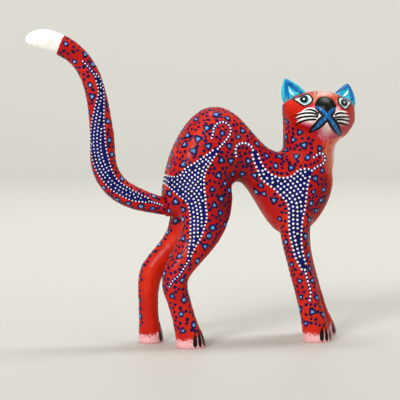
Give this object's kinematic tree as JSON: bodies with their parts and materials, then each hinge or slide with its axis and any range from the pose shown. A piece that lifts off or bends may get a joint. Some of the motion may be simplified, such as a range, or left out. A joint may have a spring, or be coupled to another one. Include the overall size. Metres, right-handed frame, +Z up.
{
  "type": "carved wooden cat figure",
  "caption": "Hand-carved and painted wooden cat on four straight legs, back arched, head turned to its right and tail raised; the tail and both ears plug into the body on round dowels.",
  "frame": {"origin": "on the table, under the middle of the figure's box", "axes": "+Z up; the cat walks towards +X and turns its face towards -Y; its own right side is -Y"},
  "size_m": [0.192, 0.045, 0.178],
  "materials": {
    "painted_body": "copal wood under red-orange acrylic with navy bands, dots and hearts, glossy",
    "painted_tail": "copal wood under red-orange acrylic with a navy band, dots and a white tip, glossy",
    "painted_ears": "copal wood under turquoise acrylic, white stroke in the scoop, glossy",
    "dowel_wood": "bare wood, sanded",
    "navy_paint": "navy acrylic dots and outlines, glossy",
    "white_paint": "white acrylic dots, glossy",
    "light_blue_paint": "light blue acrylic hearts, glossy",
    "black_paint": "black acrylic brush lines, glossy"
  },
  "bodies": {
    "carving": {"body": "painted_body"},
    "tail_dowel": {"tail_peg": "dowel_wood"},
    "tail": {"tail": "painted_tail"},
    "ear_left": {"ear_left": "painted_ears", "ear_peg_left": "dowel_wood"},
    "ear_right": {"ear_right": "painted_ears", "ear_peg_right": "dowel_wood"}
  },
  "joints": [
    {"name": "tail_pull", "type": "slide", "parent": "carving", "child": "tail_dowel", "axis": [-0.9781, 0, 0.2079], "range_m": [0, 0.014]},
    {"name": "tail_turn", "type": "hinge", "parent": "tail_dowel", "child": "tail", "pos_m": [-0.01682, 0.0033, 0.0791], "axis": [-0.9781, 0, 0.2079], "range_deg": [-90, 90]},
    {"name": "ear_left_pull", "type": "slide", "parent": "carving", "child": "ear_left", "axis": [0.3562, 0.3728, 0.8568], "range_m": [0, 0.007]},
    {"name": "ear_right_pull", "type": "slide", "parent": "carving", "child": "ear_right", "axis": [-0.3276, 0.3893, 0.8609], "range_m": [0, 0.007]}
  ]
}
